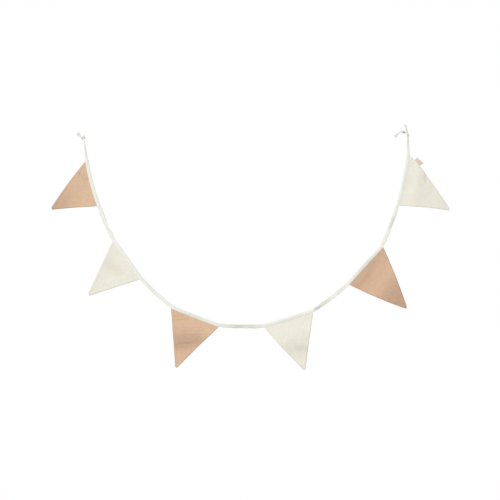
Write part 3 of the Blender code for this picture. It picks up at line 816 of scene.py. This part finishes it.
for number, flag in enumerate(FLAGS):
    name, *_, colour = flag
    start, end = run_spans[name]
    flag_width = end - start
    flag_length = hanging_length(flag)
    margin = BOUND_MARGIN + FLAG_STRAIGHT
    # Both layers in one sleeve of columns, out on the front and back behind, finer at the edges
    fine = EDGE_BAND * np.linspace(0.0, 1.0, EDGE_POINTS) ** EDGE_SPACING
    half_columns = np.linspace(EDGE_BAND / flag_width, 0.5, PENNANT_COLUMNS // 2 - 3)[1:]
    half = np.concatenate([fine / flag_width, half_columns])
    front = np.concatenate([half, 1.0 - half[-2::-1]])
    across = np.concatenate([front, front[-2::-1]])
    facing = np.concatenate([np.ones(len(front)), -np.ones(len(front) - 1)])
    row_count = round((margin + flag_length - 2.0 * EDGE_BAND) / PENNANT_STEP)
    down = np.concatenate([
        -margin + fine,
        np.linspace(EDGE_BAND - margin, flag_length - EDGE_BAND, row_count)[1:-1],
        flag_length - fine[::-1],
    ])
    across, down = np.meshgrid(across, down)
    facing = np.broadcast_to(facing, across.shape)
    share = np.clip(down / flag_length, 0.0, 1.0)
    here_width = flag_width * (1.0 - share) + TIP_WIDTH * share
    flat = np.stack([(across - 0.5) * here_width, down], axis=-1)
    # Distance from the nearest sewn edge
    slant = math.cos(math.atan2(flag_width / 2.0, flag_length))
    to_side = np.minimum(across, 1.0 - across) * here_width * slant
    to_tip = flag_length - down
    to_edge = np.minimum(to_side, to_tip)
    in_fold = np.minimum(to_edge, down + margin)
    rounding = np.sqrt(1.0 - (1.0 - np.clip(in_fold / EDGE_ROUND, 0.0, 1.0)) ** 2)
    places = pennant_outline(flag, across, down)
    along_edge = np.stack([down, np.sign(across - 0.5) * EDGES_APART, 0.0 * down], axis=-1)
    waver = SEWING_WAVER * rough(along_edge, SEWING_PITCH, 10 + number)
    outward = (across - 0.5) * 2.0 * smoothstep(down / SEWING_START) * (1.0 - share)
    places[..., 0] += waver * outward
    padding = 1.0 + PADDING_CHANGE * rough(along_edge, PADDING_PITCH, 20 + number)
    seam = 1.0 - smoothstep((to_edge - SEAM_WIDTH) / SEAM_STEP)
    half_thick = CLOTH_HALF + (EDGE_HALF - CLOTH_HALF) * seam * padding
    half_thick += (TIP_HALF - EDGE_HALF) * (1.0 - smoothstep(to_tip / TIP_PADDED))
    half_thick = np.where(down < 0.0, np.minimum(half_thick, HALF_INSIDE), half_thick)
    height, stretch = CRINKLES[name]
    crinkle_place = np.stack([flat[..., 0] / stretch, flat[..., 1], LAYERS_APART * facing], axis=-1)
    loose = smoothstep((down + LOOSE_START) / LOOSE_OVER)
    crinkle = rough(crinkle_place, CRINKLE_PITCHES[0], 30 + number)
    crinkle += 0.5 * rough(crinkle_place, CRINKLE_PITCHES[1], 40 + number)
    shared_place = np.stack([flat[..., 0], flat[..., 1], 0.0 * down], axis=-1)
    waves = rough(shared_place, WAVE_PITCHES[0], 50 + number)
    waves += 0.45 * rough(shared_place, WAVE_PITCHES[1], 60 + number)
    forward = ridge_height(FOLDS, flag, across, share) * smoothstep(share / FOLD_RISE)
    creased = ridge_height(CREASES, flag, across, share)
    forward += creased + SHARED_WAVES * waves * loose
    forward += facing * (half_thick + height * crinkle * loose * (0.5 + 0.5 * seam)) * rounding
    places[..., 1] -= forward
    cloth_flat = (flat + np.stack([(1.0 - facing) * flag_width, 0.0 * down], axis=-1)) * MM
    # Painted shade: darker down the pennant, at the bottom of its creases and along its sewn edges
    tone = np.interp(share, np.linspace(0.0, 1.0, len(PENNANT_PAINTED_SHADE[name])), PENNANT_PAINTED_SHADE[name])
    tone -= CREASE_SHADE * creased
    edge_painted_shade = np.where(across < 0.5, *EDGE_PAINTED_SHADE) * padding * smoothstep(down / EDGE_START)
    tone += edge_painted_shade * np.exp(-((to_side / EDGE_REACH) ** 2))
    sleeve = cloth_grid(places, cloth_flat, tone)
    bmesh.ops.recalc_face_normals(sleeve, faces=sleeve.faces)
    cloth = tan_muslin if colour == "tan" else cream_muslin
    pennant = add_piece(f"pennant_{number + 1}", sleeve, cloth)
    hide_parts(name)

# Side label
# A short length of plain woven ribbon in dusty pink, folded in half and caught in the upper side
# seam of the sixth pennant. It is left blank.
LABEL_START = 24.5
LABEL_LENGTH = 28.0
# At its end near the tape and at its end near the tip: how far it stands out, and its lean
# towards the tip
LABEL_SIDES = (
    (11.3, math.radians(-10.0)),
    (14.9, math.radians(5.5)),
)
LABEL_CURL = 2.5
LABEL_SEAM = 1.6           # caught in the pennant's seam
LABEL_HALF_GAP = 0.45      # between its two layers, and how soon they meet at the fold
LABEL_FOLD = 12.0
LABEL_THREAD = 0.4
LABEL_WAVE = 0.6
LABEL_WAVE_PITCH = 11.0
LABEL_ROWS = 57
LABEL_COLUMNS = 41

label_flag = FLAGS[-1]
label_down = hanging_length(label_flag)
edge_ends = pennant_outline(label_flag, np.array([1.0, 1.0]), np.array([0.0, label_down]))
edge_length = np.linalg.norm(edge_ends[1] - edge_ends[0])
label_ends = np.array([LABEL_START, LABEL_START + LABEL_LENGTH]) / edge_length * label_down
root_ends = pennant_outline(label_flag, np.array([1.0, 1.0]), label_ends)
edge_run = (root_ends[1] - root_ends[0]) * (1.0, 0.0, 1.0)
edge_run /= np.linalg.norm(edge_run)
outward = np.array((-edge_run[2], 0.0, edge_run[0]))
length_share, around = np.meshgrid(
    np.linspace(0.0, 1.0, LABEL_COLUMNS), np.linspace(-1.0, 1.0, LABEL_ROWS)
)
label_reach, label_lean = (near + (far - near) * length_share for near, far in zip(*LABEL_SIDES))
leaning = outward * np.cos(label_lean)[..., None] + edge_run * np.sin(label_lean)[..., None]
reach = (1.0 - np.abs(around)) * (label_reach + LABEL_SEAM) - LABEL_SEAM
reach_share = np.clip(reach / label_reach, 0.0, 1.0)
label_share = (LABEL_START + LABEL_LENGTH * length_share) / edge_length
at_edge = np.ones_like(around)
label_places = pennant_outline(label_flag, at_edge, label_share * label_down)
label_fold = ridge_height(FOLDS, label_flag, at_edge, label_share)
label_places[..., 1] -= label_fold * smoothstep(label_share / FOLD_RISE)
label_places += leaning * reach[..., None]
label_places[..., 1] -= LABEL_CURL * reach_share ** 2
wave_places = np.stack([LABEL_LENGTH * length_share, reach, 0.0 * reach], axis=-1)
label_places[..., 1] += LABEL_WAVE * rough(wave_places, LABEL_WAVE_PITCH, 70)
opened = np.sqrt(np.clip(np.abs(around) * LABEL_FOLD, 0.0, 1.0))
label_places[..., 1] += np.sign(around) * LABEL_HALF_GAP * opened
label_flat = np.stack([LABEL_LENGTH * length_share, (around + 1.0) * label_reach], axis=-1) * MM


def ribbon(name, light, deep, rib):
    """Plain woven cotton ribbon, a little mottled in colour. Its close filling makes fine ribs across
    it. The rib spacing is in millimetres."""
    material = bpy.data.materials.new(name)
    material.use_nodes = True
    tree = material.node_tree
    shader = tree.nodes["Principled BSDF"]
    cloth = add_node(tree, "ShaderNodeUVMap", {"uv_map": "cloth"}).outputs["UV"]
    ribs = add_node(
        tree, "ShaderNodeTexWave", {"bands_direction": "Y"},
        values={"Scale": ONE_BAND / (rib * MM), "Distortion": 0.4, "Detail": 1.0},
        links={"Vector": cloth},
    )
    tone = add_node(
        tree, "ShaderNodeTexNoise", values={"Scale": 1.0 / (7.0 * MM), "Detail": 3.0},
        links={"Vector": cloth},
    )
    mottled = spread(tree, tone.outputs["Fac"], 0.35, 0.65)
    colour = mix_colours(tree, mottled, linear(light), linear(deep))
    relief = add_node(
        tree, "ShaderNodeBump", values={"Distance": 0.25 * MM, "Strength": 0.6},
        links={"Height": ribs.outputs["Fac"]},
    )
    tree.links.new(colour, shader.inputs["Base Color"])
    tree.links.new(relief.outputs["Normal"], shader.inputs["Normal"])
    shader.inputs["Roughness"].default_value = 0.8
    shader.inputs["Sheen Weight"].default_value = 0.1
    return material


label_cloth = cloth_grid(label_places, label_flat, np.zeros_like(around))
bmesh.ops.recalc_face_normals(label_cloth, faces=label_cloth.faces)
label = add_piece(
    "side_ribbon_label", label_cloth, ribbon("cotton_ribbon", "#E6D2C3", "#D8BEAC", 0.8)
)
label_thickness = label.modifiers.new("ribbon_thickness", "SOLIDIFY")
label_thickness.thickness = LABEL_THREAD * MM
label_thickness.offset = 0.0
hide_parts("side_label")

# Topstitching
# Cream cotton thread in a straight machine stitch, through the whole tape beside its open edge. It
# shows on both faces and stops short of the knots.
STITCH_PITCH = 3.0
STITCH_LENGTH = 2.4
STITCH_RADIUS = 0.26
STITCH_CLEAR = 16.0        # from where the knots begin

stitch_thread = bpy.data.materials.new("cotton_thread")
stitch_thread.use_nodes = True
thread_shader = stitch_thread.node_tree.nodes["Principled BSDF"]
thread_place = add_node(stitch_thread.node_tree, "ShaderNodeTexCoord")
thread_tone = add_node(
    stitch_thread.node_tree, "ShaderNodeTexNoise", values={"Scale": 1.0 / (1.2 * MM)},
    links={"Vector": thread_place.outputs["Object"]},
)
thread_colour = mix_colours(
    stitch_thread.node_tree, thread_tone.outputs["Fac"], linear("#E4E1D3"), linear("#F4F2E8")
)
stitch_thread.node_tree.links.new(thread_colour, thread_shader.inputs["Base Color"])
thread_shader.inputs["Roughness"].default_value = 0.7
thread_shader.inputs["Sheen Weight"].default_value = 0.2

bm = bmesh.new()
from_edge = outer_side[last // 2] + width[last // 2] / 2.0
stitch_column = int(np.argmin(np.abs(from_edge - STITCH_INSET)))
stitch_faces = (stitch_column, LAYER_POINTS - 1 - stitch_column)
stitch_start = along_tape[first] + STITCH_CLEAR
stitch_end = along_tape[last - 1] - STITCH_CLEAR
for at in np.arange(stitch_start, stitch_end, STITCH_PITCH):
    row = first + int(np.searchsorted(along_tape[first:last], at))
    for column, sign in zip(stitch_faces, (1.0, -1.0)):
        run = tape_grid[row + 1, column] - tape_grid[row - 1, column]
        x_axis = Vector(run).normalized()
        z_axis = Vector(tape_fronts[row] * sign)
        y_axis = z_axis.cross(x_axis).normalized()
        z_axis = x_axis.cross(y_axis)
        turn = Matrix((x_axis, y_axis, z_axis)).transposed().to_4x4()
        place = Matrix.Translation(Vector(tape_grid[row, column] * MM))
        size = Matrix.Diagonal((STITCH_LENGTH / 2.0, STITCH_RADIUS, STITCH_RADIUS, 1.0 / MM)) * MM
        bmesh.ops.create_icosphere(bm, subdivisions=1, radius=1.0, matrix=place @ turn @ size)
add_piece("topstitching", bm, stitch_thread)

# Frayed ends
# Where the strip was cut, at both tails, its last threads have come loose and stand out a little.
FRAY_COUNT = 34
FRAY_LENGTH = (1.5, 4.5)
FRAY_RADIUS = 0.16
FRAY_TAPER = 0.4
FRAY_ROOT = 0.4            # how far a thread starts inside the cloth
FRAY_SPREAD = 0.48         # over this share of the strip's width, to each side
FRAY_SWAY = (0.22, 0.25)   # across the strip and through it
FRAY_SEED = 7

rng = np.random.default_rng(FRAY_SEED)
bm = bmesh.new()
for row, outward_sign in ((0, -1.0), (len(tape_rows) - 1, 1.0)):
    for _ in range(FRAY_COUNT):
        across_share, through_share = rng.uniform(-FRAY_SPREAD, FRAY_SPREAD, 2)
        root = tape_line[row] + tape_sides[row] * across_share * tape_rows[row, 3]
        root = root + tape_fronts[row] * through_share * tape_rows[row, 4]
        sideways = 0.5 * across_share + rng.normal(0.0, FRAY_SWAY[0])
        aim = tangents[row] * outward_sign + tape_sides[row] * sideways
        aim = Vector(aim + tape_fronts[row] * rng.normal(0.0, FRAY_SWAY[1])).normalized()
        length = rng.uniform(*FRAY_LENGTH)
        turn = aim.to_track_quat("Z", "Y").to_matrix().to_4x4()
        middle = Vector(root) + aim * (length / 2.0 - FRAY_ROOT)
        bmesh.ops.create_cone(
            bm, cap_ends=True, segments=3, radius1=FRAY_RADIUS * MM,
            radius2=FRAY_RADIUS * FRAY_TAPER * MM, depth=length * MM,
            matrix=Matrix.Translation(middle * MM) @ turn,
        )
add_piece("frayed_ends", bm, stitch_thread)
